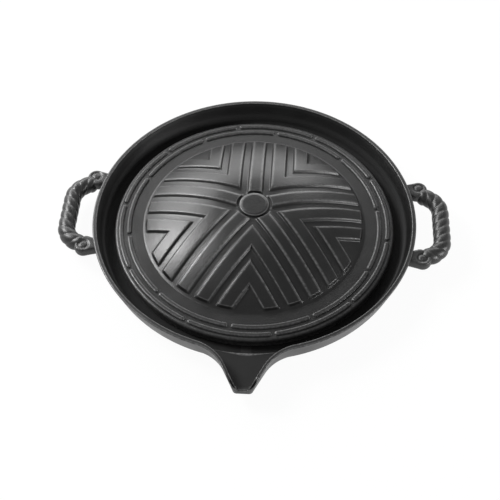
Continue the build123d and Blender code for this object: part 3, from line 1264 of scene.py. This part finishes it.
    def build_arm(self, end: float) -> Piece:
        """Makes one arm with its scroll: a rounded slab with a raised ring round a sunk button.

        The ring lies outside a groove whose section is a bell curve. The groove drifts outwards
        over one lap, so that the ring reads as a spiral, and fades out over the edge's rounding.
        Points inside the pan's wall stop at wall_depth under its outer face.

        Args:
            end: 1 for the arm at the back, -1 for the one in front.

        Returns:
            The arm's object.
        """
        around = np.linspace(-np.pi, np.pi, self.outline_count + 1)
        reach = self.arm_reach_at(around)[:, None]
        around, count = around[:, None], self.round_count
        shelf_edge = reach - self.top_round
        disc = np.linspace(0, 1, self.disc_count)[None, :] * np.minimum(self.scroll_band, shelf_edge)
        span = shelf_edge - disc[:, -1:]
        shelf = disc[:, -1:] + span * shares(self.shelf_count) ** self.shelf_power
        bend = quarter_turn(count)
        upper = np.hstack((disc, shelf, shelf_edge + self.top_round * np.sin(bend)))
        lap = (around * end + self.groove_turn) % (2 * np.pi) / (2 * np.pi)
        drift = self.groove_drift * (lap - 0.5)
        relief = sum(
            depth * np.exp(-(((upper - radius - drift) / half_width) ** 2))
            for radius, half_width, depth in self.grooves
        )
        relief[:, -count:] *= np.linspace(1, 0, count)[None, :]
        relief[:, -count:] += self.top_round * (1 - np.cos(bend))
        middle, bend = reach - self.bottom_round, bend - bend[0, 0]
        lower = middle + self.bottom_round * np.cos(bend)
        low = self.arm_bottom + self.bottom_round * (1 - np.sin(bend))
        inward = middle * (1 - shares(self.under_count))
        radius = np.hstack((upper, lower, inward))
        height = np.hstack((
            self.arm_top - relief,
            np.broadcast_to(low, lower.shape),
            np.full(inward.shape, self.arm_bottom),
        ))
        slab = polar(radius, around, height) + np.array([*self.scroll, 0.0])
        face = self.wall.outer_radius_at(np.clip(slab[..., 2], 0, self.wall.rim_height))
        least = np.sqrt(np.clip((face - self.wall_depth) ** 2 - slab[..., 1] ** 2, 0, None))
        slab[..., 0] = np.maximum(slab[..., 0], least)
        slab[..., 1] *= end
        return self.finish("arm_back" if end > 0 else "arm_front", [slab], Smoothing.CRISP)

    def finish(self, name: str, grids: list[Array], smoothing: Smoothing) -> Piece:
        """Mirrors the grids to the handle's side and makes their object."""
        mirrored = [grid * (self.side.value, 1.0, 1.0) for grid in grids]
        return surface_object(f"{self.side.name.lower()}_{name}", mirrored, smoothing)

    def build(self) -> list[Piece]:
        """Makes the grip and both arms."""
        return [self.build_grip(), self.build_arm(1.0), self.build_arm(-1.0)]


@dataclass(frozen=True)
class Softbox:
    """A rectangular studio light that looks at the origin; place and size are metres."""

    name: str
    place: Triple
    size: Pair
    power: float

    def build(self) -> None:
        """Makes the light and turns it towards the origin."""
        lamp = bpy.data.lights.new(self.name, "AREA")
        lamp.shape = "RECTANGLE"
        lamp.size, lamp.size_y = self.size
        lamp.energy = self.power
        light = add_object(self.name, lamp)
        light.matrix_world = facing(Vector(self.place), -Vector(self.place))


@dataclass
class Studio:
    """White surroundings, softboxes and the camera at the photograph's angle.

    The camera's sizes are millimetres and degrees. The floor's half width is metres. The world
    goes from one level to the other between two heights of the look, from 0 level to 1 upright.
    """

    distance: float = 961.8
    elevation: float = 51.07
    azimuth: float = 3.3
    roll: float = -0.3
    lens: float = 73.94
    shift: Pair = (-0.00864, -0.0549)
    target: Triple = (0.0, 0.0, 13.5)
    sensor: float = 36.0
    nearest: float = 10.0
    world_levels: Pair = (1.0, 0.33)
    world_heights: Pair = (0.02, 0.4)
    floor_gap: float = 0.05
    floor_half_width: float = 30.0
    floor_colour: tuple[float, float, float, float] = (0.85, 0.85, 0.85, 1.0)
    floor_glow: float = 0.95
    lights: tuple[Softbox, ...] = (
        Softbox("key", (-1.0, 0.4, 0.95), (0.5, 0.5), 21.0),
        Softbox("back_left", (-0.95, 1.25, 0.85), (0.7, 0.7), 12.0),
        Softbox("back", (0.0, 1.6, 0.72), (1.4, 0.9), 13.0),
        Softbox("right", (1.2, -0.32, 0.36), (0.5, 0.25), 8.0),
    )

    def build_camera(self) -> None:
        """Makes the camera: it looks at the target from the distance, elevation and azimuth."""
        up, turn = np.radians(self.elevation), np.radians(self.azimuth)
        away = Vector((np.cos(up) * np.sin(turn), -np.cos(up) * np.cos(turn), np.sin(up)))
        place = (Vector(self.target) + away * self.distance) * MM
        camera = add_object("camera", bpy.data.cameras.new("camera"))
        camera.matrix_world = facing(place, -away) @ Matrix.Rotation(np.radians(self.roll), 4, "Z")
        camera.data.lens = self.lens
        camera.data.sensor_width = self.sensor
        camera.data.shift_x, camera.data.shift_y = self.shift
        camera.data.clip_start = self.nearest * MM
        bpy.context.scene.camera = camera

    @staticmethod
    def seen_directly(tree: Tree) -> Socket:
        """Adds a mask that is 1 to the camera and in reflections and refractions, and else 0.

        Args:
            tree: The material's or world's node tree.

        Returns:
            The mask's output socket.
        """
        rays = add_node(tree, "LightPath")
        seen = rays.outputs["Is Camera Ray"]
        for kind in ("Is Glossy Ray", "Is Transmission Ray"):
            seen = join(tree, "MAXIMUM", seen, rays.outputs[kind])
        return seen

    def build_floor(self) -> None:
        """Makes the white floor, clear from below.

        Nearly all its light to the camera is its own, so that shadows stay faint.
        """
        mesh = bpy.data.meshes.new("floor")
        half, low = self.floor_half_width, -self.floor_gap * MM
        corners = [(-half, -half, low), (half, -half, low), (half, half, low), (-half, half, low)]
        mesh.from_pydata(corners, [], [(0, 1, 2, 3)])
        floor = add_object("floor", mesh)
        material = bpy.data.materials.new("white_floor")
        tree = empty_tree(material)
        share = add_node(tree, "Value").outputs["Value"]
        share.default_value = self.floor_glow
        seen = join(tree, "MULTIPLY", self.seen_directly(tree), share)
        plain = add_node(tree, "BsdfDiffuse", {"Color": self.floor_colour})
        glow = add_node(tree, "Emission")
        mix = add_node(tree, "MixShader")
        face = add_node(tree, "NewGeometry")
        clear = add_node(tree, "BsdfTransparent")
        sided = add_node(tree, "MixShader")
        out = add_node(tree, "OutputMaterial")
        tree.links.new(seen, mix.inputs["Fac"])
        wire(plain, "BSDF", mix, 1)
        wire(glow, "Emission", mix, 2)
        wire(face, "Backfacing", sided, "Fac")
        wire(mix, "Shader", sided, 1)
        wire(clear, "BSDF", sided, 2)
        wire(sided, "Shader", out, "Surface")
        mesh.materials.append(material)

    def build_world(self) -> None:
        """Gives the world a soft light, pale at the horizon and darker overhead."""
        world = bpy.data.worlds.new("surroundings")
        bpy.context.scene.world = world
        tree = empty_tree(world)
        place = add_node(tree, "TexCoord")
        axes = add_node(tree, "SeparateXYZ")
        fall = add_node(tree, "MapRange", {
            "From Min": self.world_heights[0], "From Max": self.world_heights[1],
            "To Min": self.world_levels[0], "To Max": self.world_levels[1],
        })
        fall.interpolation_type = "SMOOTHSTEP"
        light = add_node(tree, "Background", {"Color": (1.0, 1.0, 1.0, 1.0)})
        out = add_node(tree, "OutputWorld")
        wire(place, "Generated", axes, "Vector")
        wire(axes, "Z", fall, "Value")
        wire(fall, "Result", light, "Strength")
        wire(light, "Background", out, "Surface")

    def build(self) -> None:
        """Sets up the camera, the lights, the floor and the view."""
        self.build_camera()
        self.build_floor()
        self.build_world()
        for light in self.lights:
            light.build()
        bpy.context.scene.view_settings.view_transform = "Standard"


def dress(
    pieces: list[Piece], body: str, node: str, slot: str, material: bpy.types.Material
) -> None:
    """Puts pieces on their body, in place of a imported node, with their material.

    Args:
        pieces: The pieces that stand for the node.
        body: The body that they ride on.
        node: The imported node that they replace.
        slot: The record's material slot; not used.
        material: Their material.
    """
    for piece in pieces:
        piece.data.materials.append(material)
        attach(piece, body)
        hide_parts(node)
        LOG.info("%s stands for %s on %s", piece.name, node, body)


def main() -> None:
    """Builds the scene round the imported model."""
    logging.basicConfig(level=logging.INFO, format="%(message)s")
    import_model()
    Studio().build()
    group = cast_grain_group()
    pan_iron, plate_iron = PAN_IRON.material(group), PLATE_IRON.material(group)
    dress([Dome().build(), Flange().build()], "plate", "grill_plate", PLATE_IRON.slot, plate_iron)
    dress([DripPan().build()], "pan", "drip_pan", PAN_IRON.slot, pan_iron)
    for side in Side:
        dress(Handle(side).build(), "pan", f"{side.name.lower()}_handle", PAN_IRON.slot, pan_iron)


if __name__ == "__main__":
    main()
